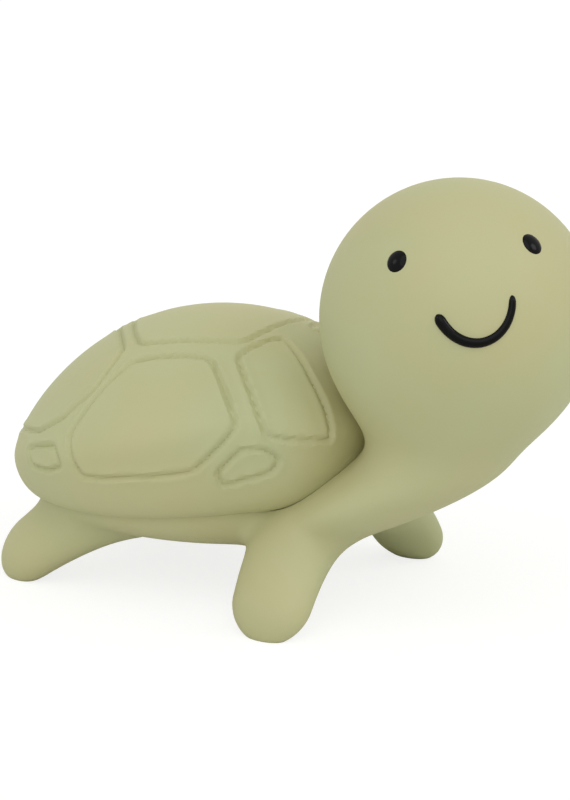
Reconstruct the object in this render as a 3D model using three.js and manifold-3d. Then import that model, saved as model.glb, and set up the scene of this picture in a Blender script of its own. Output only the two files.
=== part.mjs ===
// Hollow natural-rubber toy turtle with a loose rattle capsule closed up inside.
// Millimetres and degrees, +Z up, head towards -Y, origin on the ground under the middle of the toy.

import * as THREE from "three";
import { LoftGeometry } from "three/addons/geometries/LoftGeometry.js";
import { mergeVertices } from "three/addons/utils/BufferGeometryUtils.js";
import Module from "manifold-3d";

const wasm = await Module();
wasm.setup();
const degrees = THREE.MathUtils.degToRad;
const lerp = THREE.MathUtils.lerp;

// Carapace: dome above its widest line, and the rim that turns under from there to the crease
const shellLength = 75;
const shellWidth = 69;
const shellRise = 20.4;
const shellFullness = 0.78;
const shellPitch = 15;
const shellHeight = 30.7;
const shellWall = 2.6;
const rimTurnIn = 5.1;
const rimLand = 4.5;
const creaseHeight = 17.6;
const creasePitch = 4.8;

// Scute outlines in shares of the way from the crown to the widest line, head towards -1.
// Shares above 1 run on round the rim, which is as deep as rimShare.
const rimShare = 0.3;
const grooveWidth = 1.6;
const vertebralScute = [[-0.34, -0.6], [-0.52, -0.08], [0, 0.27], [0.52, -0.08], [0.34, -0.6]];
const rightScutes = {
  middleCostal: [
    [-0.505, -0.5], [-0.715, -0.705], [-0.92, -0.57], [-1.04, -0.28],
    [-1.065, 0.06], [-0.94, 0.15], [-0.62, -0.1],
  ],
  frontCostal: [
    [-0.43, -0.595], [-0.08, -0.66], [-0.29, -0.85],
    [-0.28, -1.03], [-0.5, -0.93], [-0.64, -0.81],
  ],
  rearCostal: [
    [-0.06, 0.33], [-0.53, -0.01], [-0.76, 0.05], [-0.855, 0.22],
    [-0.83, 0.42], [-0.52, 0.78], [-0.06, 0.9],
  ],
  frontMarginal: [[-0.855, -0.68], [-0.735, -0.75], [-0.6, -0.92], [-0.86, -0.74]],
  rearMarginal: [[-0.94, 0.25], [-1.01, 0.2], [-1, 0.3], [-0.92, 0.46], [-0.84, 0.5]],
};

// Belly, chest and neck; the neck's places are measured forward from the carapace's front end
const skinWall = 2.4;
const rimOverhang = 0.8;
const bellyHeight = 11.5;
const bellyFlatLength = 42;
const bellyFlatWidth = 34;
const bellyFlatForward = 6;
const chestWidth = 36;
const chestLength = 30;
const chestDepth = 13;
const chestHeight = 20.2;
const chestAhead = 0.5;
const throatWidth = 24;
const throatDepth = 13.4;
const throatHeight = 25.5;
const throatAhead = 12.3;
const headRadius = 24.3;
const headHeight = 55.8;
const headAhead = 18;

// Face: the head looks to the turtle's right and leans over a little
const headTurn = 53.4;
const headTilt = 6.6;
const eyeSpacing = 22.3;
const eyeHeight = 14.2;
const eyeWidth = 4;
const eyeTall = 4.4;
const eyeThick = 1.8;
const eyeSink = 0.5;
const mouthWidth = 12.6;
const mouthDepth = 6;
const mouthLow = 0.9;
const mouthAside = 0.8;
const mouthTilt = 7;
const mouthLine = 1.8;
const mouthSink = 0.3;
const mouthSweep = 80;

// Flippers: three points of the spine, each as distance in from the carapace's side, distance in from its
// front or rear end, and height; then the full chord and thickness at the root and at the tip
const frontFlipper = {
  end: -1,
  spine: [[29, 7.2, 17.5], [12.5, 5.2, 13.5], [6.5, 4.8, -1]],
  chord: [17.5, 15],
  thickness: [13, 8],
  chordAxis: [0, 1, 0],
};
const rearFlipper = {
  end: 1,
  spine: [[22.5, 33, 17.5], [13.5, 23, 13.5], [10, 8.5, 0.6]],
  chord: [19, 13.5],
  thickness: [11, 8],
  chordAxis: [0.6, -0.6, -0.5],
};
const flipperTipShare = 0.99;

// Rattle capsule and its beads
const rattleRadius = 11;
const rattleWall = 1.7;
const rattleLip = 1.5;
const rattleForward = 4;
const beadRadius = 1.7;
const beadSpacing = 1.2;
const beadLaneAngle = 43;

// Clearances
const joinGap = 0.3;
const restGap = 0.3;

// Facets
const shellSides = 32;
const domeRings = 7;
const crownShare = 0.07;
const rimRings = 3;
const bellyRings = 4;
const headSides = 26;
const headRings = 10;
const throatRings = 5;
const poleAngle = degrees(86);
const limbSides = 12;
const limbRings = 9;
const grooveSides = 4;
const grooveSteps = 5;
const rattleSides = 20;
const rattleRings = 6;
const dropSides = 10;
const dropRings = 6;
const beadSides = 8;

// Numbers from 0 to 1 in even steps
function steps(count) {
  return Array.from({ length: count + 1 }, (_, i) => i / count);
}

// Angles once round, without the last one that repeats the first
function turns(count) {
  return steps(count).slice(0, -1).map((t) => t * 2 * Math.PI);
}

// Closed geometry as a solid that can be joined and cut, moved by a matrix once its corners are merged
function solid(geometry, matrix = new THREE.Matrix4()) {
  const bare = new THREE.BufferGeometry();
  bare.setAttribute("position", geometry.attributes.position);
  bare.setIndex(geometry.index);
  const merged = mergeVertices(bare).applyMatrix4(matrix);
  const corners = merged.index.array;
  const kept = [];
  for (let i = 0; i < corners.length; i += 3) {
    const [a, b, c] = corners.slice(i, i + 3);
    if (a !== b && b !== c && c !== a) kept.push(a, b, c);
  }
  return new wasm.Manifold(new wasm.Mesh({
    numProp: 3,
    vertProperties: new Float32Array(merged.attributes.position.array),
    triVerts: new Uint32Array(kept),
  }));
}

// Solid back to a geometry
function surface(body) {
  const mesh = body.getMesh();
  const geometry = new THREE.BufferGeometry();
  geometry.setAttribute("position", new THREE.BufferAttribute(mesh.vertProperties, 3));
  geometry.setIndex(new THREE.BufferAttribute(mesh.triVerts, 1));
  geometry.computeVertexNormals();
  return geometry;
}

// Radius and height pairs, up the outside and down the inside, turned about the vertical axis
function turned(profile, sides) {
  const points = profile.map(([radius, height]) => new THREE.Vector2(radius, height));
  return new THREE.LatheGeometry(points, sides).rotateX(Math.PI / 2);
}

function arc(radius, from, to, count) {
  return steps(count).map((t) => {
    const angle = lerp(from, to, t);
    return [radius * Math.cos(angle), radius * Math.sin(angle)];
  });
}

function lofted(rings) {
  return solid(new LoftGeometry(rings, { capStart: true, capEnd: true }));
}

function ring(point) {
  return turns(shellSides).map(point);
}

function polygon(radius, sides) {
  return new THREE.Shape(turns(sides).map((turn) => new THREE.Vector2(
    radius * Math.cos(turn),
    radius * Math.sin(turn),
  )));
}

function tube(points, radius, sides, count) {
  return new THREE.ExtrudeGeometry(polygon(radius, sides), {
    steps: count,
    extrudePath: new THREE.CatmullRomCurve3(points),
  });
}

// Frames of the dome and of the face
const domeFrame = new THREE.Matrix4().makeRotationX(degrees(-shellPitch)).setPosition(0, 0, shellHeight);
const headFrame = new THREE.Group();
headFrame.position.set(0, -shellLength / 2 - headAhead, headHeight);
headFrame.rotation.set(0, degrees(-headTilt), degrees(-headTurn), "ZYX");
headFrame.updateMatrix();

// Point on the dome, at a share of the way from the crown to the widest line
function domePoint(share, turn, inset) {
  return new THREE.Vector3(
    (shellWidth / 2 - inset) * share * Math.cos(turn),
    (shellLength / 2 - inset) * share * Math.sin(turn),
    (shellRise - inset) * (1 - share ** 2) ** shellFullness,
  ).applyMatrix4(domeFrame);
}

// Point on the crease, the oval where the rim meets the belly
function creasePoint(turn, inset, lift) {
  const halfWidth = shellWidth / 2 - rimTurnIn - inset;
  const halfLength = shellLength / 2 * Math.cos(degrees(shellPitch)) - rimTurnIn - inset;
  const along = halfLength * Math.sin(turn);
  const height = creaseHeight - along * Math.tan(degrees(creasePitch));
  return new THREE.Vector3(halfWidth * Math.cos(turn), along, height + lift);
}

// Point on a quarter round that leaves one point upright and comes in level at the other
function quarterRound(upright, level, t) {
  const angle = t * Math.PI / 2;
  return new THREE.Vector3(
    lerp(level.x, upright.x, Math.cos(angle)),
    lerp(level.y, upright.y, Math.cos(angle)),
    lerp(upright.z, level.z, Math.sin(angle)),
  );
}

// Rings of the shell form from the crease up to the crown; a negative inset grows it
function shellRings(inset, creaseInset, creaseLift) {
  const rim = steps(rimRings).map((t) => ring((turn) => quarterRound(
    domePoint(1, turn, inset),
    creasePoint(turn, creaseInset, creaseLift),
    1 - t,
  )));
  const dome = steps(domeRings).slice(1).map((t) => {
    const share = Math.cos(t * Math.acos(crownShare));
    return ring((turn) => domePoint(share, turn, inset));
  });
  return [...rim, ...dome];
}

// Point on the outside of the carapace from scute shares
function scutePoint(across, along) {
  const share = Math.hypot(across, along);
  const turn = Math.atan2(along, across);
  if (share <= 1) return domePoint(share, turn, 0);
  return quarterRound(domePoint(1, turn, 0), creasePoint(turn, 0, 0), (share - 1) / rimShare);
}

function scuteGrooves(outline) {
  return outline.map(([across, along], i) => {
    const [nextAcross, nextAlong] = outline[(i + 1) % outline.length];
    const points = steps(grooveSteps).map((t) => scutePoint(
      lerp(across, nextAcross, t),
      lerp(along, nextAlong, t),
    ));
    return solid(tube(points, grooveWidth / 2, grooveSides, grooveSteps));
  });
}

// Carapace: hollow, with a flat land under its rim and a groove round each scute
function carapaceGeometry() {
  const opening = ring((turn) => creasePoint(turn, rimLand, -shellWall));
  const hollow = lofted([opening, ...shellRings(shellWall, rimLand, shellWall)]);
  const right = Object.values(rightScutes);
  const left = right.map((outline) => outline.map(([across, along]) => [-across, along]));
  let shell = lofted(shellRings(0, 0, 0)).subtract(hollow);
  for (const outline of [vertebralScute, ...right, ...left]) {
    for (const groove of scuteGrooves(outline)) shell = shell.subtract(groove);
  }
  return surface(shell);
}

// Belly tub, from its level floor up to the crease
function bellyTub(inset) {
  const floorPoint = (turn) => new THREE.Vector3(
    bellyFlatWidth / 2 * Math.cos(turn),
    bellyFlatLength / 2 * Math.sin(turn) - bellyFlatForward,
    bellyHeight + inset,
  );
  const edge = (turn) => creasePoint(turn, rimOverhang + inset, -joinGap);
  return steps(bellyRings).map((t) => ring((turn) => quarterRound(edge(turn), floorPoint(turn), 1 - t)));
}

// Shoulders between the front flippers
function chest(inset) {
  const ball = new THREE.SphereGeometry(1, headSides, headRings);
  ball.scale(chestWidth / 2 - inset, chestLength / 2 - inset, chestDepth / 2 - inset);
  const forward = shellLength / 2 + chestAhead;
  return solid(ball, new THREE.Matrix4().makeTranslation(0, -forward, chestHeight));
}

// Head and neck: the head's ball, a small egg at the throat and the cone that touches both
function headAndNeck(inset) {
  const throat = new THREE.Vector3(0, -shellLength / 2 - throatAhead, throatHeight);
  const axis = headFrame.position.clone().sub(throat);
  const length = axis.length();
  const slope = Math.asin((headRadius - throatDepth / 2) / length);
  const throatArc = arc(throatDepth / 2 - inset, -poleAngle, -slope, throatRings);
  const headArc = arc(headRadius - inset, -slope, poleAngle, headRings);
  const lean = new THREE.Quaternion().setFromUnitVectors(new THREE.Vector3(0, 0, 1), axis.normalize());
  const place = new THREE.Matrix4().makeRotationFromQuaternion(lean).setPosition(throat);
  const widen = throatWidth / throatDepth;
  const throatSection = ([radius, height]) => section(radius * widen, radius, height, place);
  const headSection = ([radius, height]) => section(radius, radius, height + length, place);
  return lofted([...throatArc.map(throatSection), ...headArc.map(headSection)]);
}

// Level oval section, moved by a matrix
function section(halfWidth, halfLength, height, place) {
  return turns(headSides).map((turn) => new THREE.Vector3(
    halfWidth * Math.cos(turn),
    halfLength * Math.sin(turn),
    height,
  ).applyMatrix4(place));
}

// Flipper: oval sections along a bent spine, rounded off at the tip
function flipper(shape, side) {
  const [root, bend, tip] = shape.spine.map(([fromSide, fromEnd, height]) => new THREE.Vector3(
    side * (shellWidth / 2 - fromSide),
    shape.end * (shellLength / 2 - fromEnd),
    height,
  ));
  const spine = new THREE.QuadraticBezierCurve3(root, bend, tip);
  const [chordX, chordY, chordZ] = shape.chordAxis;
  const roundFrom = 1 - shape.chord[1] / 2 / spine.getLength();
  return lofted(steps(limbRings).map((t) => {
    const along = Math.sin(t * Math.asin(flipperTipShare));
    const pastRound = Math.max(0, (along - roundFrom) / (1 - roundFrom));
    const roundOff = Math.sqrt(1 - pastRound ** 2);
    const centre = spine.getPointAt(along);
    const forward = spine.getTangentAt(along);
    const chordAxis = new THREE.Vector3(side * chordX, chordY, chordZ).projectOnPlane(forward).normalize();
    const thickAxis = new THREE.Vector3().crossVectors(forward, chordAxis);
    const halfChord = lerp(...shape.chord, along) / 2 * roundOff;
    const halfThick = lerp(...shape.thickness, along) / 2 * roundOff;
    return turns(limbSides).map((turn) => centre.clone()
      .addScaledVector(chordAxis, halfChord * Math.cos(turn))
      .addScaledVector(thickAxis, halfThick * Math.sin(turn)));
  }));
}

// Point on the head in the face's frame, a little under its surface
function onHead(x, z, sink) {
  const radius = headRadius - sink;
  return new THREE.Vector3(x, -Math.sqrt(radius ** 2 - x ** 2 - z ** 2), z);
}

// Eye: a flat oval drop of paint; grown by a clearance it is its socket
function eyeGeometry(side, grow) {
  const centre = onHead(side * eyeSpacing / 2, eyeHeight, eyeSink);
  const facing = new THREE.Matrix4().lookAt(centre, new THREE.Vector3(), new THREE.Vector3(0, 0, 1));
  const drop = new THREE.SphereGeometry(1, dropSides, dropRings);
  drop.scale(eyeWidth / 2 + grow, eyeTall / 2 + grow, eyeThick / 2 + grow);
  return surface(solid(drop, facing.setPosition(centre)));
}

// Mouth: one line of paint round the lower part of an oval; grown by a clearance it is its groove
function mouthGeometry(grow) {
  const sweep = degrees(mouthSweep);
  const halfWide = mouthWidth / 2 / Math.sin(sweep);
  const halfTall = mouthDepth / (1 - Math.cos(sweep));
  const reach = sweep + grow / halfWide;
  const tilt = new THREE.Matrix4().makeRotationY(degrees(-mouthTilt));
  const points = steps(limbRings).map((t) => {
    const angle = lerp(-reach, reach, t);
    const across = mouthAside + halfWide * Math.sin(angle);
    const up = mouthLow + halfTall * (1 - Math.cos(angle));
    return onHead(across, up, mouthSink).applyMatrix4(tilt);
  });
  return tube(points, mouthLine / 2 + grow, dropSides, limbSides);
}

// Body skin: belly, chest, neck, head and flippers in one hollow moulding, open under the carapace
function bodySkinGeometry() {
  let skin = lofted(bellyTub(0)).add(chest(0)).add(headAndNeck(0));
  for (const side of [-1, 1]) {
    skin = skin.add(flipper(frontFlipper, side)).add(flipper(rearFlipper, side));
  }
  const opening = ring((turn) => creasePoint(turn, rimOverhang + skinWall, shellWall));
  const hollow = lofted([...bellyTub(skinWall), opening]).add(chest(skinWall)).add(headAndNeck(skinWall));
  const carapaceRoom = lofted(shellRings(-joinGap, -joinGap, -joinGap));
  const groundSize = 3 * shellLength;
  const ground = new THREE.BoxGeometry(groundSize, groundSize, groundSize).translate(0, 0, -groundSize / 2);
  skin = skin.subtract(hollow).subtract(carapaceRoom).subtract(solid(ground));
  for (const mark of [eyeGeometry(-1, joinGap), eyeGeometry(1, joinGap), mouthGeometry(joinGap)]) {
    skin = skin.subtract(solid(mark, headFrame.matrix));
  }
  return surface(skin);
}

// Rattle capsule: two halves that overlap at a stepped lip, lying on the belly's floor
const rattleFrame = new THREE.Group();
rattleFrame.position.set(0, -rattleForward, bellyHeight + skinWall + restGap + rattleRadius);
const rattleInside = rattleRadius - rattleWall;
const lipOutside = rattleRadius - (rattleWall + joinGap) / 2;

function rattleLowerGeometry() {
  return turned([
    ...arc(rattleRadius, -Math.PI / 2, 0, rattleRings),
    [lipOutside, 0],
    [lipOutside, rattleLip],
    [rattleInside, rattleLip],
    ...arc(rattleInside, 0, -Math.PI / 2, rattleRings),
  ], rattleSides);
}

function rattleUpperGeometry() {
  const lipTop = rattleLip + joinGap;
  return turned([
    ...arc(rattleInside, Math.PI / 2, Math.asin(lipTop / rattleInside), rattleRings),
    [lipOutside + joinGap, lipTop],
    [lipOutside + joinGap, joinGap],
    ...arc(rattleRadius, Math.asin(joinGap / rattleRadius), Math.PI / 2, rattleRings),
  ], rattleSides);
}

// Beads at rest on the capsule's floor, in a ring of as many as fit side by side
const beadReach = rattleInside - beadRadius - restGap;
const beadLane = beadReach * Math.sin(degrees(beadLaneAngle));
const beadDrop = beadReach * Math.cos(degrees(beadLaneAngle));
const beadCount = Math.floor(2 * Math.PI * beadLane / (2 * beadRadius + beadSpacing));

// Finishes
const rubber = new THREE.MeshStandardMaterial({ color: 0xbfc29b, roughness: 0.75, metalness: 0 });
const blackPaint = new THREE.MeshStandardMaterial({ color: 0x141412, roughness: 0.25, metalness: 0 });
const capsulePlastic = new THREE.MeshStandardMaterial({ color: 0xe9e7df, roughness: 0.4, metalness: 0 });
const beadPlastic = new THREE.MeshStandardMaterial({ color: 0xc98b3a, roughness: 0.35, metalness: 0 });

function piece(name, geometry, material) {
  const mesh = new THREE.Mesh(geometry, material);
  mesh.name = name;
  return mesh;
}

headFrame.add(
  piece("right_eye", eyeGeometry(-1, 0), blackPaint),
  piece("left_eye", eyeGeometry(1, 0), blackPaint),
  piece("mouth", mouthGeometry(0), blackPaint),
);
rattleFrame.add(
  piece("rattle_capsule_lower", rattleLowerGeometry(), capsulePlastic),
  piece("rattle_capsule_upper", rattleUpperGeometry(), capsulePlastic),
);
turns(beadCount).forEach((turn, i) => {
  const ball = new THREE.SphereGeometry(beadRadius, beadSides, dropRings);
  const bead = piece(`rattle_bead_${i + 1}`, ball, beadPlastic);
  bead.position.set(beadLane * Math.cos(turn), beadLane * Math.sin(turn), -beadDrop);
  rattleFrame.add(bead);
});

const turtle = new THREE.Group();
turtle.add(
  piece("carapace", carapaceGeometry(), rubber),
  piece("body_skin", bodySkinGeometry(), rubber),
  headFrame,
  rattleFrame,
);

// Origin under the middle of the toy
const box = new THREE.Box3().setFromObject(turtle);
turtle.position.y = -(box.min.y + box.max.y) / 2;

export default turtle;
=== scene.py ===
# Looks of a hollow natural-rubber toy turtle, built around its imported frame.
# Sizes are in millimetres, measured from the ground under the middle of the carapace.
# The head is towards -Y.

import math

import bpy
import numpy as np
from mathutils import Euler, Matrix, Vector
from mathutils.bvhtree import BVHTree
from mathutils.kdtree import KDTree


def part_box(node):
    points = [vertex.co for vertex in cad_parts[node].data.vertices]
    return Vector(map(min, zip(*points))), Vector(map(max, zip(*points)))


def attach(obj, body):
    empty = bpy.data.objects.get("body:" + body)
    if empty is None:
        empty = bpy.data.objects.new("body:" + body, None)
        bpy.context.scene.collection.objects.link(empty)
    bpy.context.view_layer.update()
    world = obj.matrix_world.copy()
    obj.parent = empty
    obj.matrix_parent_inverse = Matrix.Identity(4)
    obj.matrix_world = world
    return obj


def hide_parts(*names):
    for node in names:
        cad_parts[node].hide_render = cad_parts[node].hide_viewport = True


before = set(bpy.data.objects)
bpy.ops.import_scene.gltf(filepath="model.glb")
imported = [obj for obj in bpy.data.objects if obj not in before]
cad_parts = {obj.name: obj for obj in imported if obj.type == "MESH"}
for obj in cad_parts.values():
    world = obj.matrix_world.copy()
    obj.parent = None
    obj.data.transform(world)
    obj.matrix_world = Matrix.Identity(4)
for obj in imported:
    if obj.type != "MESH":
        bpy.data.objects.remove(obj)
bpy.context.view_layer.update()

MM = 0.001
carapace_low, carapace_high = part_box("carapace")
SHELL_MIDDLE = Vector((0, (carapace_low.y + carapace_high.y) / 2, 0))

# Carapace: dome above its widest line, and the rim that turns under to the crease
SHELL_LENGTH = 75
SHELL_WIDTH = 69
SHELL_RISE = 20.4
SHELL_FULLNESS = 0.78
SHELL_PITCH = math.radians(-15)
SHELL_HEIGHT = 30.7
SHELL_WALL = 2.6
RIM_TURN_IN = 5.1
RIM_LAND = 4.5
CREASE_HEIGHT = 17.6
CREASE_PITCH = math.radians(-4.8)
RIM_SOFTNESS = 2.4
LINE_GAP = 0.05

# The rim's front rolls forward under the head: how far, and the places along and in height
# where the roll starts and where it is full
FRONT_ROLL = 5
FRONT_ROLL_FROM = (-21, 44)
FRONT_ROLL_FULL = (-35, 34)

# Scute outlines in shares of the way from the crown to the widest line; above 1 they run on round the rim
RIM_SHARE = 0.3
VERTEBRAL_SCUTE = [(-0.34, -0.6), (-0.52, -0.08), (0, 0.27), (0.52, -0.08), (0.34, -0.6)]
RIGHT_SCUTES = {
    "middle_costal": [(-0.505, -0.5), (-0.725, -0.692), (-0.92, -0.57), (-1.04, -0.28), (-1.065, 0.06),
                      (-0.94, 0.15), (-0.62, -0.1)],
    "front_costal": [(-0.441, -0.594), (-0.117, -0.692), (-0.402, -0.956), (-0.416, -0.971),
                     (-0.669, -0.785)],
    "rear_costal": [(-0.06, 0.33), (-0.53, -0.01), (-0.76, 0.05), (-0.855, 0.22), (-0.83, 0.42),
                    (-0.52, 0.78), (-0.06, 0.9)],
    "front_marginal": [(-0.856, -0.678), (-0.751, -0.729), (-0.688, -0.798), (-0.646, -0.863),
                       (-0.689, -0.865), (-0.764, -0.811), (-0.863, -0.726)],
    "rear_marginal": [(-0.94, 0.25), (-1.01, 0.2), (-1.0, 0.3), (-0.92, 0.46), (-0.84, 0.5)],
}
GROOVE_WIDTH = 1.9
GROOVE_DEPTH = 0.85
LIP_WIDTH = 5.0
LIP_HEIGHT = 0.25
GROOVE_SPACING = 0.3
CORNER_CUTS = (0.1, 0.25)

# Body skin: belly, chest and head, and the passages that join their hollows
SKIN_WALL = 2.4
RIM_OVERHANG = 0.8
BELLY_HEIGHT = 11.5
BELLY_FLAT = (34, 42)
BELLY_FLAT_FORWARD = 6
BELLY_TOP_NARROWING = 3
CHEST_WIDTH = 40
CHEST_DEPTH = 13
CHEST_FRONT = 22.5
CHEST_REAR = 18
CHEST_CENTRE = (0, -41.1, 21.7)
CHEST_TILT = math.radians(-26.3)
CHEST_END = math.radians(87)
HEAD_RADIUS = 24.3
HEAD_CENTRE = (0, -55.5, 55.8)
THROAT_PASSAGE = (16, 9, 11)
THROAT_PASSAGE_CENTRE = (0, -53, 32)
BELLY_PASSAGE = (18, 12, 4.8)
BELLY_PASSAGE_CENTRE = (0, -28.5, 16.6)

# Blends between the body's forms, and the stages that bring the skin to them
# A stage is a voxel size and a number of rounds
TRUNK_BLEND = 5.5
LIMB_BLEND = 1.6
FLOW_STEP = 1.5
LEAST_STEEPNESS = 0.2
FLOW_STAGES = ((1.5, 4), (1.5, 4), (0.9, 3))
SKIN_VOXEL = 0.7
SKIN_SMOOTHING = 4
SOLE_PRECISION = 1e-6

# Flippers: spine from root to tip, full chord and thickness at the root and at the tip
FRONT_SPINE = [(5.5, -30.3, 17.5), (22, -32.3, 13.5), (28, -32.7, -1)]
FRONT_CHORD = (17.5, 15)
FRONT_THICKNESS = (13, 8)
FRONT_CHORD_AXIS = (0, 1, 0)
REAR_SPINE = [(12, 4.5, 17.5), (21, 14.5, 13.5), (24.5, 29, 0.6)]
REAR_CHORD = (19, 13.5)
REAR_THICKNESS = (11, 8)
REAR_CHORD_AXIS = (0.6, -0.6, -0.5)
ROOT_ROUND = 0.12
FLIPPER_END = 0.06
SPINE_STEP = 0.01

# Painted face: the head looks to the turtle's right and leans over a little
HEAD_TURN = math.radians(-53.4)
HEAD_TILT = math.radians(-6.6)
EYE_SPACING = 22.3
EYE_HEIGHT = 14.2
EYE_SIZE = (4, 4.4, 1.8)
EYE_SINK = 0.5
MOUTH_WIDTH = 12.6
MOUTH_DEPTH = 6
MOUTH_LOW = 0.9
MOUTH_ASIDE = 0.8
MOUTH_LINE = (2, 1.4)
MOUTH_TILT = math.radians(-7)
MOUTH_SINK = 0.3
MOUTH_SWEEP = math.radians(80)
MOUTH_STEP = 0.01
MOUTH_TIP = 0.05

# Camera: the photograph's viewpoint, its focal length in photograph pixels
PHOTO_HEIGHT = 800
FOCAL_PIXELS = 2034.5
VIEW_TURN = math.radians(-57.5)
VIEW_RISE = math.radians(14.7)
VIEW_DISTANCE = 380.6
VIEW_TARGET = (0.64, -19.2, 35.5)

# Lamps: the direction that each shines from, its spread in degrees and its strength
LAMPS = {
    "key_lamp": ((-0.51, -0.32, 0.8), 60, 0.82),
    "side_lamp": ((0.25, -0.75, 0.6), 24, 0.46),
    "glint_lamp": ((-0.55, 0.58, 0.6), 16, 0.15),
}
LAMP_COLOUR = (0.98, 0.98, 1.1)
WORLD_COLOUR = (1, 0.99, 0.88, 1)
WORLD_STRENGTH = 0.57
WHITE = (1, 1, 1, 1)
FLOOR_SIZE = 6000
FLOOR_GLOW = 1.14
FLOOR_GLOW_SHARE = 0.7

# Patterns in the materials: how far across their features are, and how deep the fine ones stand
CLOUD_SIZE = 28
GRAIN_SIZE = 0.9
FILM_SIZE = 1.2
FLOW_SIZE = 6
BUMP_DEPTH = 0.1

# Fineness: spacing of rows, and how many corners or rows a form has
SHELL_SPACING = 0.45
SHELL_CORNERS = 480
ROOM_SPACING = 0.8
ROOM_CORNERS = 240
HOLLOW_SPACING = 1.5
HOLLOW_CORNERS = 96
CROWN_START = 0.05
DOME_ROWS = 200
RIM_ROWS = 60
SOFTENING_PASSES = 2
BELLY_ROWS = 14
BELLY_CORNERS = 128
CHEST_ROWS = 48
CHEST_CORNERS = 96
SKIN_HOLLOW_CORNERS = 64
FLIPPER_ROWS = 60
FLIPPER_CORNERS = 48
EGG_CORNERS = 96
EYE_CORNERS = 64
MOUTH_ROWS = 60
MOUTH_END_ROWS = 4
MOUTH_CORNERS = 24
SMOOTH_ANGLE = math.radians(40)


def at(point):
    return Vector(point) * MM + SHELL_MIDDLE


def mix(a, b, share):
    return a + (b - a) * share


def steps(count):
    return [i / count for i in range(count + 1)]


# Modelling helpers

def start_clean():
    if bpy.context.mode != "OBJECT":
        bpy.ops.object.mode_set(mode="OBJECT")
    bpy.ops.object.select_all(action="DESELECT")


def make_active(*pieces):
    start_clean()
    for piece in pieces:
        piece.select_set(True)
    bpy.context.view_layer.objects.active = pieces[0]


def lofted(name, ovals, corners):
    """Closed form through a row of ovals, each given by its place and half sizes."""
    start_clean()
    rings = []
    for place, half_width, half_depth in ovals:
        bpy.ops.mesh.primitive_circle_add(
            vertices=corners,
            radius=MM,
            location=at(place.translation),
            rotation=place.to_euler(),
        )
        bpy.context.object.scale = (half_width, half_depth, 1)
        rings.append(bpy.context.object)
    make_active(*rings)
    bpy.ops.object.join()
    bpy.ops.object.transform_apply(location=True, rotation=True, scale=True)
    bpy.ops.object.mode_set(mode="EDIT")
    bpy.ops.mesh.select_all(action="SELECT")
    bpy.ops.mesh.bridge_edge_loops()
    bpy.ops.mesh.select_all(action="SELECT")
    bpy.ops.mesh.fill_holes(sides=0)
    bpy.ops.mesh.select_all(action="SELECT")
    bpy.ops.mesh.normals_make_consistent(inside=False)
    bpy.ops.object.mode_set(mode="OBJECT")
    piece = bpy.context.object
    piece.name = name
    return piece


def joined(name, pieces):
    """One object from copies of several."""
    copies = []
    for piece in pieces:
        make_active(piece)
        bpy.ops.object.duplicate()
        copies.append(bpy.context.object)
    make_active(*copies)
    bpy.ops.object.join()
    bpy.context.object.name = name
    return bpy.context.object


def remeshed(piece, voxel):
    make_active(piece)
    piece.data.remesh_voxel_size = voxel * MM
    bpy.ops.object.voxel_remesh()


def cut(piece, tool):
    """Takes a tool's form out of a piece and removes the tool."""
    make_active(piece)
    cutter = piece.modifiers.new("cut", "BOOLEAN")
    cutter.operation = "DIFFERENCE"
    cutter.solver = "MANIFOLD"
    cutter.object = tool
    bpy.ops.object.modifier_apply(modifier=cutter.name)
    bpy.data.objects.remove(tool)


def smoothed(piece, times):
    make_active(piece)
    smoother = piece.modifiers.new("smooth", "SMOOTH")
    smoother.factor = 0.5
    smoother.iterations = times
    bpy.ops.object.modifier_apply(modifier=smoother.name)


def shaded(piece):
    make_active(piece)
    bpy.ops.object.shade_smooth_by_angle(angle=SMOOTH_ANGLE)


def discard(*pieces):
    for piece in pieces:
        bpy.data.objects.remove(piece)


# Forms of the carapace
# A row describes an oval: how far along its middle is, its height, the rise of its rear end,
# its half width and its half length.

def placed(row):
    middle, height, end_rise, half_width, half_length = row
    place = Matrix.Rotation(math.atan2(end_rise, half_length), 4, "X")
    place.translation = (0, middle, height)
    return place, half_width, math.hypot(half_length, end_rise)


def dome_row(share, inset):
    """Row of the dome, at a share of the way from its crown to the widest line."""
    rise = (SHELL_RISE - inset) * (1 - share ** 2) ** SHELL_FULLNESS
    middle = Matrix.Rotation(SHELL_PITCH, 3, "X") @ Vector((0, 0, rise))
    half_length = (SHELL_LENGTH / 2 - inset) * share
    return np.array((
        middle.y,
        SHELL_HEIGHT + middle.z,
        half_length * math.sin(SHELL_PITCH),
        (SHELL_WIDTH / 2 - inset) * share,
        half_length * math.cos(SHELL_PITCH),
    ))


def crease_row(inset, lift):
    half_length = SHELL_LENGTH / 2 * math.cos(SHELL_PITCH) - RIM_TURN_IN - inset
    half_width = SHELL_WIDTH / 2 - RIM_TURN_IN - inset
    end_rise = half_length * math.tan(CREASE_PITCH)
    return np.array((0, CREASE_HEIGHT + lift, end_rise, half_width, half_length))


def round_row(upright, level, share):
    """Row on a quarter round that leaves one row upright and comes in level at the other."""
    out = math.cos(share * math.pi / 2)
    up = 1 - math.sin(share * math.pi / 2)
    return mix(level, upright, np.array((out, up, up, out, out)))


def even_rows(rows, spacing, soften):
    """Rows spaced evenly, with the profile's corners rounded over a length; the ends stay put."""
    rows = np.array(rows)
    run = np.concatenate(([0], np.cumsum(np.hypot(np.diff(rows[:, 1]), np.diff(rows[:, 3])))))
    stops = np.linspace(0, run[-1], round(run[-1] / spacing))
    rows = np.array([np.interp(stops, run, column) for column in rows.T])
    taps = 2 * round(soften / spacing / 2) + 1
    for _ in range(SOFTENING_PASSES):
        padded = np.pad(rows, ((0, 0), (taps // 2, taps // 2)), mode="reflect", reflect_type="odd")
        rows = np.array([np.convolve(column, np.ones(taps) / taps, mode="valid") for column in padded])
    return rows.T


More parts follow.
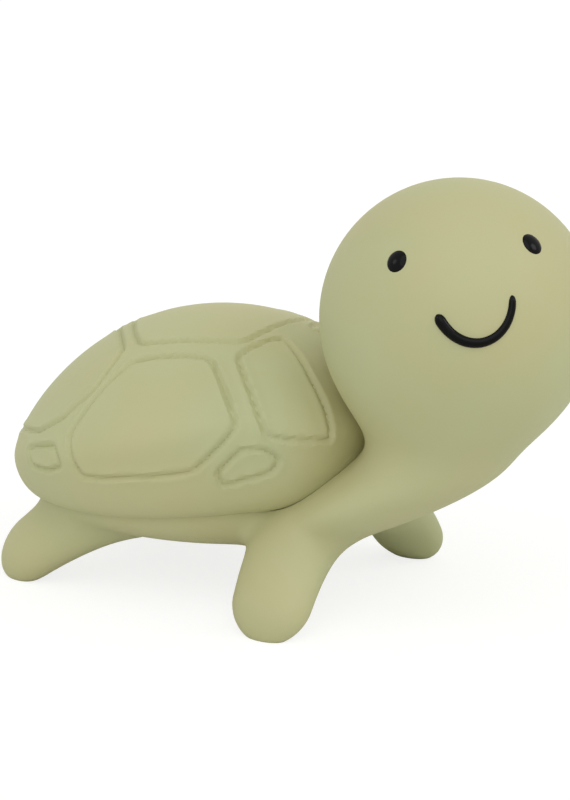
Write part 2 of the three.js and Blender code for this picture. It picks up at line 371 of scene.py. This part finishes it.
def eased(value, start, end):
    """Share from 0 to 1 of the way between two values, slow at both ends."""
    share = min(1, max(0, (value - start) / (end - start)))
    return share * share * (3 - 2 * share)


def rolled(point):
    """Point of the shell, moved forward where the rim's front rolls out under the head."""
    reach = eased(point.y, FRONT_ROLL_FROM[0], FRONT_ROLL_FULL[0])
    reach *= eased(point.z, FRONT_ROLL_FROM[1], FRONT_ROLL_FULL[1])
    return Vector((point.x, point.y - FRONT_ROLL * reach, point.z))


def shell_form(name, inset, crease_inset, crease_lift, spacing, corners):
    """Dome and rim as one closed form, crown first; a negative inset grows it."""
    rows = [dome_row(math.sin(mix(CROWN_START, math.pi / 2, t)), inset) for t in steps(DOME_ROWS)]
    crease = crease_row(crease_inset, crease_lift)
    rows += [round_row(rows[-1], crease, t) for t in steps(RIM_ROWS)[1:]]
    piece = lofted(name, [placed(row) for row in even_rows(rows, spacing, RIM_SOFTNESS)], corners)
    for vertex in piece.data.vertices:
        vertex.co = at(rolled((vertex.co - SHELL_MIDDLE) / MM))
    return piece


def scute_point(across, along):
    """Point on the outside of the carapace from scute shares."""
    share = math.hypot(across, along)
    turn = math.atan2(along, across)
    row = dome_row(min(share, 1), 0)
    if share > 1:
        row = round_row(row, crease_row(0, 0), (share - 1) / RIM_SHARE)
    place, half_width, half_length = placed(row)
    return at(rolled(place @ Vector((half_width * math.cos(turn), half_length * math.sin(turn), 0))))


def scute_line(outline):
    """Points close together along an outline whose corners are cut twice, to round them."""
    corners = [scute_point(*corner) for corner in outline]
    for share in CORNER_CUTS:
        pairs = zip(corners, corners[1:] + corners[:1])
        corners = [a.lerp(b, t) for a, b in pairs for t in (share, 1 - share)]
    points = []
    for a, b in zip(corners, corners[1:] + corners[:1]):
        count = max(1, round((b - a).length / (GROOVE_SPACING * MM)))
        points += [a.lerp(b, i / count) for i in range(count)]
    return points


def push_along(piece, distances, width, height):
    """Raises a soft band where points are close to a line or, with a height below zero, presses it in."""
    group = piece.vertex_groups.new(name="band")
    for i, distance in enumerate(distances):
        share = distance / (width / 2 * MM)
        if share < 1:
            group.add([i], (1 + math.cos(share * math.pi)) / 2, "REPLACE")
    make_active(piece)
    push = piece.modifiers.new("push", "DISPLACE")
    push.vertex_group = group.name
    push.mid_level = 0
    push.strength = height * MM
    bpy.ops.object.modifier_apply(modifier=push.name)
    piece.vertex_groups.clear()


def press_grooves(piece, lines):
    """Presses a groove with soft raised lips into a piece along lines of points."""
    points = [piece.closest_point_on_mesh(point)[1] for line in lines for point in line]
    tree = KDTree(len(points))
    for i, point in enumerate(points):
        tree.insert(point, i)
    tree.balance()
    distances = [tree.find(vertex.co)[2] for vertex in piece.data.vertices]
    push_along(piece, distances, LIP_WIDTH, LIP_HEIGHT)
    push_along(piece, distances, GROOVE_WIDTH, -GROOVE_DEPTH)


def make_carapace():
    piece = shell_form("carapace_skin", 0, 0, 0, SHELL_SPACING, SHELL_CORNERS)
    right = list(RIGHT_SCUTES.values())
    left = [[(-across, along) for across, along in outline] for outline in right]
    press_grooves(piece, [scute_line(outline) for outline in [VERTEBRAL_SCUTE, *right, *left]])
    cut(piece, shell_form("carapace_hollow", SHELL_WALL, RIM_LAND, 0, HOLLOW_SPACING, HOLLOW_CORNERS))
    opening = [placed(crease_row(RIM_LAND, lift)) for lift in (-SHELL_WALL, SHELL_WALL)]
    cut(piece, lofted("carapace_opening", opening, HOLLOW_CORNERS))
    shaded(piece)
    return piece


# Forms of the body

def belly_ovals(inset):
    """Ovals from the belly's level floor out to the crease, then over a rounded top in the carapace."""
    edge = crease_row(RIM_OVERHANG + inset, 0)
    half_width, half_length = BELLY_FLAT[0] / 2, BELLY_FLAT[1] / 2
    floor = np.array((-BELLY_FLAT_FORWARD, BELLY_HEIGHT + inset, 0, half_width, half_length))
    top = np.array((0, SHELL_HEIGHT, *(edge[2:] / BELLY_TOP_NARROWING)))
    lower = [placed(round_row(edge, floor, 1 - t)) for t in steps(BELLY_ROWS)]
    upper = [placed(round_row(edge, top, t)) for t in steps(BELLY_ROWS)[1:]]
    return lower + upper


def chest_ovals(inset):
    """Ovals from the chest's longer front end in the head back to its blunt rear in the carapace."""
    lie = Matrix.Translation(CHEST_CENTRE) @ Matrix.Rotation(CHEST_TILT, 4, "X")
    stand = Matrix.Rotation(math.radians(-90), 4, "X")
    ovals = []
    for t in steps(CHEST_ROWS):
        angle = mix(-CHEST_END, CHEST_END, t)
        along = ((CHEST_FRONT if angle < 0 else CHEST_REAR) - inset) * math.sin(angle)
        place = lie @ Matrix.Translation((0, along, 0)) @ stand
        half_sizes = [(size / 2 - inset) * math.cos(angle) for size in (CHEST_WIDTH, CHEST_DEPTH)]
        ovals.append((place, *half_sizes))
    return ovals


def make_egg(name, centre, size):
    start_clean()
    bpy.ops.mesh.primitive_uv_sphere_add(
        segments=EGG_CORNERS,
        ring_count=EGG_CORNERS // 2,
        radius=MM,
        location=at(centre),
        scale=[length / 2 for length in size],
    )
    bpy.ops.object.transform_apply(location=True, rotation=True, scale=True)
    bpy.context.object.name = name
    return bpy.context.object


def make_head(name, inset):
    return make_egg(name, HEAD_CENTRE, [2 * (HEAD_RADIUS - inset)] * 3)


def on_spine(root, bend, tip, along):
    return root.lerp(bend, along).lerp(bend.lerp(tip, along), along)


def flipper_ovals(spine, chord, thickness, chord_axis, side):
    """Ovals along a bent spine, rounded off at both ends."""
    root, bend, tip = (Vector((side * x, y, z)) for x, y, z in spine)
    length = sum((on_spine(root, bend, tip, a) - on_spine(root, bend, tip, a - SPINE_STEP)).length
                 for a in np.arange(SPINE_STEP, 1 + SPINE_STEP / 2, SPINE_STEP))
    round_from = 1 - chord[1] / 2 / length
    ovals = []
    for t in steps(FLIPPER_ROWS):
        along = (1 - math.cos(mix(FLIPPER_END, math.pi - FLIPPER_END, t))) / 2
        past = max(0, (along - round_from) / (1 - round_from), 1 - along / ROOT_ROUND)
        round_off = math.sqrt(1 - past ** 2)
        forward = bend.lerp(tip, along) - root.lerp(bend, along)
        across = Vector((side * chord_axis[0], chord_axis[1], chord_axis[2]))
        across = (across - across.project(forward)).normalized()
        forward.normalize()
        up = forward.cross(across)
        place = Matrix((across, up, forward)).transposed().to_4x4()
        place.translation = on_spine(root, bend, tip, along)
        half_sizes = [mix(*size, along) / 2 * round_off for size in (chord, thickness)]
        ovals.append((place, *half_sizes))
    return ovals


def blended(fields, reach):
    """Depths and outward directions of several forms as one, flowing into each other over a reach."""
    depths = np.array([depth for depth, _ in fields])
    outward = np.array([way for _, way in fields])
    pull = np.exp(-depths / (reach * MM))
    whole = pull.sum(0)
    return -reach * MM * np.log(whole), (pull[:, :, None] * outward).sum(0) / whole[:, None]


def form_field(form, points):
    """Depths of points outside a form, below zero inside it, and the outward directions there."""
    corners = [vertex.co for vertex in form.data.vertices]
    faces = [face.vertices for face in form.data.polygons]
    tree = BVHTree.FromPolygons(corners, faces)
    depths, outward = [], []
    for point in points:
        near, normal, _, distance = tree.find_nearest(point)
        depths.append(math.copysign(distance, (point - near).dot(normal)))
        outward.append(normal)
    return np.array(depths), np.array(outward)


def flow_together(skin, trunk, limbs, rounds):
    """Moves a skin's points to where the trunk's forms flow together and the limbs join them closely."""
    for _ in range(rounds):
        points = [vertex.co.copy() for vertex in skin.data.vertices]
        body = blended([form_field(form, points) for form in trunk], TRUNK_BLEND)
        depth, outward = blended([body] + [form_field(form, points) for form in limbs], LIMB_BLEND)
        steepness = np.linalg.norm(outward, axis=1).clip(LEAST_STEEPNESS)
        step = (depth / steepness).clip(-FLOW_STEP * MM, FLOW_STEP * MM)
        moves = outward / steepness[:, None] * step[:, None]
        for vertex, point, move in zip(skin.data.vertices, points, moves):
            vertex.co = point - Vector(move)
        skin.data.update()


def flatten_soles(piece):
    """Cuts off what is below the ground and closes the cut."""
    make_active(piece)
    bpy.ops.object.mode_set(mode="EDIT")
    bpy.ops.mesh.select_all(action="SELECT")
    bpy.ops.mesh.bisect(
        plane_co=(0, 0, 0),
        plane_no=(0, 0, -1),
        use_fill=True,
        clear_outer=True,
        threshold=SOLE_PRECISION,
    )
    bpy.ops.object.mode_set(mode="OBJECT")


def make_body_skin():
    trunk = [make_head("head_form", 0), lofted("chest_form", chest_ovals(0), CHEST_CORNERS)]
    limbs = [lofted("belly_form", belly_ovals(0), BELLY_CORNERS)]
    for side, word in ((-1, "right"), (1, "left")):
        front = flipper_ovals(FRONT_SPINE, FRONT_CHORD, FRONT_THICKNESS, FRONT_CHORD_AXIS, side)
        rear = flipper_ovals(REAR_SPINE, REAR_CHORD, REAR_THICKNESS, REAR_CHORD_AXIS, side)
        limbs.append(lofted(word + "_front_form", front, FLIPPER_CORNERS))
        limbs.append(lofted(word + "_rear_form", rear, FLIPPER_CORNERS))
    piece = joined("turtle_skin", trunk + limbs)
    for voxel, rounds in FLOW_STAGES:
        remeshed(piece, voxel)
        flow_together(piece, trunk, limbs, rounds)
    discard(*trunk, *limbs)
    remeshed(piece, SKIN_VOXEL)
    smoothed(piece, SKIN_SMOOTHING)
    flatten_soles(piece)
    cut(piece, shell_form("carapace_room", -LINE_GAP, -LINE_GAP, -LINE_GAP, ROOM_SPACING, ROOM_CORNERS))
    for hollow in (
        lofted("belly_hollow", belly_ovals(SKIN_WALL), SKIN_HOLLOW_CORNERS),
        lofted("chest_hollow", chest_ovals(SKIN_WALL), SKIN_HOLLOW_CORNERS),
        make_head("head_hollow", SKIN_WALL),
        make_egg("throat_passage", THROAT_PASSAGE_CENTRE, THROAT_PASSAGE),
        make_egg("belly_passage", BELLY_PASSAGE_CENTRE, BELLY_PASSAGE),
    ):
        cut(piece, hollow)
    shaded(piece)
    return piece


# Painted face

head_turn = Euler((0, HEAD_TILT, HEAD_TURN), "XYZ").to_matrix().to_4x4()
head_frame = Matrix.Translation(HEAD_CENTRE) @ head_turn


def on_head(x, z, sink):
    """Point of the face at a place across and up, sunk under the head's surface."""
    radius = HEAD_RADIUS - sink
    return Vector((x, -math.sqrt(radius ** 2 - x ** 2 - z ** 2), z))


def make_eye(name, side):
    spot = on_head(side * EYE_SPACING / 2, EYE_HEIGHT, EYE_SINK)
    facing = spot.to_track_quat("Z", "Y").to_matrix().to_4x4()
    place = head_frame @ Matrix.Translation(spot) @ facing
    start_clean()
    bpy.ops.mesh.primitive_uv_sphere_add(
        segments=EYE_CORNERS,
        ring_count=EYE_CORNERS // 2,
        radius=MM,
        location=at(place.translation),
        rotation=place.to_euler(),
        scale=[size / 2 for size in EYE_SIZE],
    )
    bpy.ops.object.transform_apply(location=True, rotation=True, scale=True)
    piece = bpy.context.object
    piece.name = name
    shaded(piece)
    return piece


def smile_point(angle):
    half_wide = MOUTH_WIDTH / 2 / math.sin(MOUTH_SWEEP)
    half_tall = MOUTH_DEPTH / (1 - math.cos(MOUTH_SWEEP))
    across = MOUTH_ASIDE + half_wide * math.sin(angle)
    up = MOUTH_LOW + half_tall * (1 - math.cos(angle))
    return Matrix.Rotation(MOUTH_TILT, 3, "Y") @ on_head(across, up, MOUTH_SINK)


def make_mouth():
    ovals = []
    for t in steps(MOUTH_ROWS):
        angle = mix(-MOUTH_SWEEP, MOUTH_SWEEP, t)
        spot = smile_point(angle)
        forward = (smile_point(angle + MOUTH_STEP) - spot).normalized()
        outward = spot.normalized()
        across = outward.cross(forward)
        place = Matrix((across, outward, forward)).transposed().to_4x4()
        place.translation = spot
        end = min(t, 1 - t) * MOUTH_ROWS / MOUTH_END_ROWS
        round_off = math.sqrt(1 - (1 - min(1, mix(MOUTH_TIP, 1, end))) ** 2)
        radius = mix(*MOUTH_LINE, t) / 2 * round_off
        ovals.append((head_frame @ place, radius, radius))
    piece = lofted("smile_line", ovals, MOUTH_CORNERS)
    shaded(piece)
    return piece


# Materials

def linear(hex_colour):
    """Scene colour from an sRGB hex one."""
    channels = [int(hex_colour[i:i + 2], 16) / 255 for i in (0, 2, 4)]
    return [c / 12.92 if c <= 0.04045 else ((c + 0.055) / 1.055) ** 2.4 for c in channels] + [1]


def add_node(tree, kind, settings=None, inputs=None):
    """Adds a node; an input is a value or the socket that feeds it."""
    node = tree.nodes.new(kind)
    for key, value in (settings or {}).items():
        setattr(node, key, value)
    for key, value in (inputs or {}).items():
        if isinstance(value, bpy.types.NodeSocket):
            tree.links.new(value, node.inputs[key])
        else:
            node.inputs[key].default_value = value
    return node


def new_material(name):
    material = bpy.data.materials.new(name)
    material.use_nodes = True
    material.node_tree.nodes.clear()
    return material, material.node_tree


def per_mm(size):
    """Noise scale whose features are about this many millimetres across."""
    return 1 / (size * MM)


def moulded_rubber():
    # Natural rubber cast in a plaster mould: matt, pale sage, faintly cloudy, with a chalky fine grain.
    material, tree = new_material("moulded_natural_rubber")
    place = add_node(tree, "ShaderNodeTexCoord").outputs["Object"]
    clouds = add_node(tree, "ShaderNodeTexNoise", None,
                      {"Vector": place, "Scale": per_mm(CLOUD_SIZE), "Detail": 2.0})
    tint = add_node(tree, "ShaderNodeValToRGB", None, {"Fac": clouds.outputs["Fac"]})
    tint.color_ramp.elements[0].position = 0.35
    tint.color_ramp.elements[0].color = linear("C0BD8F")
    tint.color_ramp.elements[1].position = 0.65
    tint.color_ramp.elements[1].color = linear("BDC194")
    grain = add_node(tree, "ShaderNodeTexNoise", None,
                     {"Vector": place, "Scale": per_mm(GRAIN_SIZE), "Detail": 3.0})
    bump = add_node(tree, "ShaderNodeBump", None,
                    {"Height": grain.outputs["Fac"], "Strength": 0.12, "Distance": BUMP_DEPTH * MM})
    roughness = add_node(tree, "ShaderNodeMapRange", None,
                         {"Value": grain.outputs["Fac"], "To Min": 0.5, "To Max": 0.62})
    shader = add_node(tree, "ShaderNodeBsdfPrincipled", None, {
        "Base Color": tint.outputs["Color"],
        "Roughness": roughness.outputs["Result"],
        "Specular IOR Level": 0.36,
        "Normal": bump.outputs["Normal"],
    })
    add_node(tree, "ShaderNodeOutputMaterial", None, {"Surface": shader.outputs["BSDF"]})
    return material


def gloss_paint():
    # Black rubber paint put on by hand: glossy, with slight unevenness in the film.
    material, tree = new_material("gloss_black_rubber_paint")
    place = add_node(tree, "ShaderNodeTexCoord").outputs["Object"]
    film = add_node(tree, "ShaderNodeTexNoise", None,
                    {"Vector": place, "Scale": per_mm(FILM_SIZE), "Detail": 1.0})
    tint = add_node(tree, "ShaderNodeValToRGB", None, {"Fac": film.outputs["Fac"]})
    tint.color_ramp.elements[0].color = linear("080807")
    tint.color_ramp.elements[1].color = linear("0E0D0C")
    bump = add_node(tree, "ShaderNodeBump", None,
                    {"Height": film.outputs["Fac"], "Strength": 0.2, "Distance": BUMP_DEPTH * MM})
    shader = add_node(tree, "ShaderNodeBsdfPrincipled", None, {
        "Base Color": tint.outputs["Color"],
        "Roughness": 0.15,
        "Specular IOR Level": 0.1,
        "Normal": bump.outputs["Normal"],
    })
    add_node(tree, "ShaderNodeOutputMaterial", None, {"Surface": shader.outputs["BSDF"]})
    return material


def moulded_plastic(name, pale, deep, roughness):
    # Injection-moulded plastic: even colour with faint flow clouds, satin or glossy by its roughness.
    material, tree = new_material(name)
    place = add_node(tree, "ShaderNodeTexCoord").outputs["Object"]
    flow = add_node(tree, "ShaderNodeTexNoise", None,
                    {"Vector": place, "Scale": per_mm(FLOW_SIZE), "Detail": 2.0})
    tint = add_node(tree, "ShaderNodeValToRGB", None, {"Fac": flow.outputs["Fac"]})
    tint.color_ramp.elements[0].color = linear(deep)
    tint.color_ramp.elements[1].color = linear(pale)
    shader = add_node(tree, "ShaderNodeBsdfPrincipled", None, {
        "Base Color": tint.outputs["Color"],
        "Roughness": roughness,
        "IOR": 1.49,
    })
    add_node(tree, "ShaderNodeOutputMaterial", None, {"Surface": shader.outputs["BSDF"]})
    return material


def finish_with(piece, material):
    piece.data.materials.clear()
    piece.data.materials.append(material)


# Pieces

rubber = moulded_rubber()
paint = gloss_paint()
capsule_plastic = moulded_plastic("moulded_white_polypropylene", "ECEAE3", "E2DFD6", 0.4)
bead_plastic = moulded_plastic("moulded_amber_polystyrene", "D39A48", "BC7B2C", 0.25)

for maker, node, slot, material in (
    (make_carapace, "carapace", "shell_rubber", rubber),
    (make_body_skin, "body_skin", "skin_rubber", rubber),
    (lambda: make_eye("right_eye_paint", -1), "right_eye", "face_paint", paint),
    (lambda: make_eye("left_eye_paint", 1), "left_eye", "face_paint", paint),
    (make_mouth, "mouth", "face_paint", paint),
):
    piece = maker()
    finish_with(piece, material)
    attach(piece, "toy")
    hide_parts(node)

for name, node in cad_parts.items():
    if name.startswith("rattle_capsule"):
        finish_with(node, capsule_plastic)
    if name.startswith("rattle_bead"):
        finish_with(node, bead_plastic)


# Stage, light and camera

def make_floor():
    start_clean()
    bpy.ops.mesh.primitive_plane_add(size=FLOOR_SIZE * MM, location=(0, 0, 0))
    floor = bpy.context.object
    floor.name = "studio_floor"
    material, tree = new_material("white_studio_paper")
    path = add_node(tree, "ShaderNodeLightPath")
    paper = add_node(tree, "ShaderNodeBsdfDiffuse", None, {"Color": linear("F4F4F2")})
    glow = add_node(tree, "ShaderNodeEmission", None, {"Color": WHITE, "Strength": FLOOR_GLOW})
    seen = add_node(tree, "ShaderNodeMath", {"operation": "MULTIPLY"},
                    {0: path.outputs["Is Camera Ray"], 1: FLOOR_GLOW_SHARE})
    both = add_node(tree, "ShaderNodeMixShader", None,
                    {0: seen.outputs["Value"], 1: paper.outputs["BSDF"], 2: glow.outputs["Emission"]})
    add_node(tree, "ShaderNodeOutputMaterial", None, {"Surface": both.outputs["Shader"]})
    finish_with(floor, material)


def make_world():
    world = bpy.data.worlds.new("studio")
    bpy.context.scene.world = world
    world.use_nodes = True
    tree = world.node_tree
    tree.nodes.clear()
    path = add_node(tree, "ShaderNodeLightPath")
    straight = add_node(tree, "ShaderNodeMath", {"operation": "MAXIMUM"},
                        {0: path.outputs["Is Camera Ray"], 1: path.outputs["Is Transmission Ray"]})
    seen = add_node(tree, "ShaderNodeMath", {"operation": "MAXIMUM"},
                    {0: straight.outputs["Value"], 1: path.outputs["Is Glossy Ray"]})
    light = add_node(tree, "ShaderNodeBackground", None,
                     {"Color": WORLD_COLOUR, "Strength": WORLD_STRENGTH})
    white = add_node(tree, "ShaderNodeBackground", None, {"Color": WHITE, "Strength": 1.0})
    both = add_node(tree, "ShaderNodeMixShader", None, {
        0: seen.outputs["Value"],
        1: light.outputs["Background"],
        2: white.outputs["Background"],
    })
    add_node(tree, "ShaderNodeOutputWorld", None, {"Surface": both.outputs["Shader"]})


def make_lamp(name, direction, spread, power):
    """Even lamp from a direction, soft by its spread in degrees; its light is a little cool."""
    start_clean()
    bpy.ops.object.light_add(type="SUN", rotation=Vector(direction).to_track_quat("Z", "Y").to_euler())
    lamp = bpy.context.object
    lamp.name = name
    lamp.data.angle = math.radians(spread)
    lamp.data.energy = power
    lamp.data.color = LAMP_COLOUR


def make_camera():
    start_clean()
    back = Vector((
        math.sin(VIEW_TURN) * math.cos(VIEW_RISE),
        -math.cos(VIEW_TURN) * math.cos(VIEW_RISE),
        math.sin(VIEW_RISE),
    ))
    bpy.ops.object.camera_add(
        location=at(VIEW_TARGET) + back * VIEW_DISTANCE * MM,
        rotation=back.to_track_quat("Z", "Y").to_euler(),
    )
    camera = bpy.context.object
    camera.name = "photo_camera"
    camera.data.lens = FOCAL_PIXELS * camera.data.sensor_width / PHOTO_HEIGHT
    camera.data.clip_start = 0.01
    bpy.context.scene.camera = camera


make_floor()
make_world()
for lamp_name, settings in LAMPS.items():
    make_lamp(lamp_name, *settings)
make_camera()
bpy.context.scene.view_settings.view_transform = "Standard"
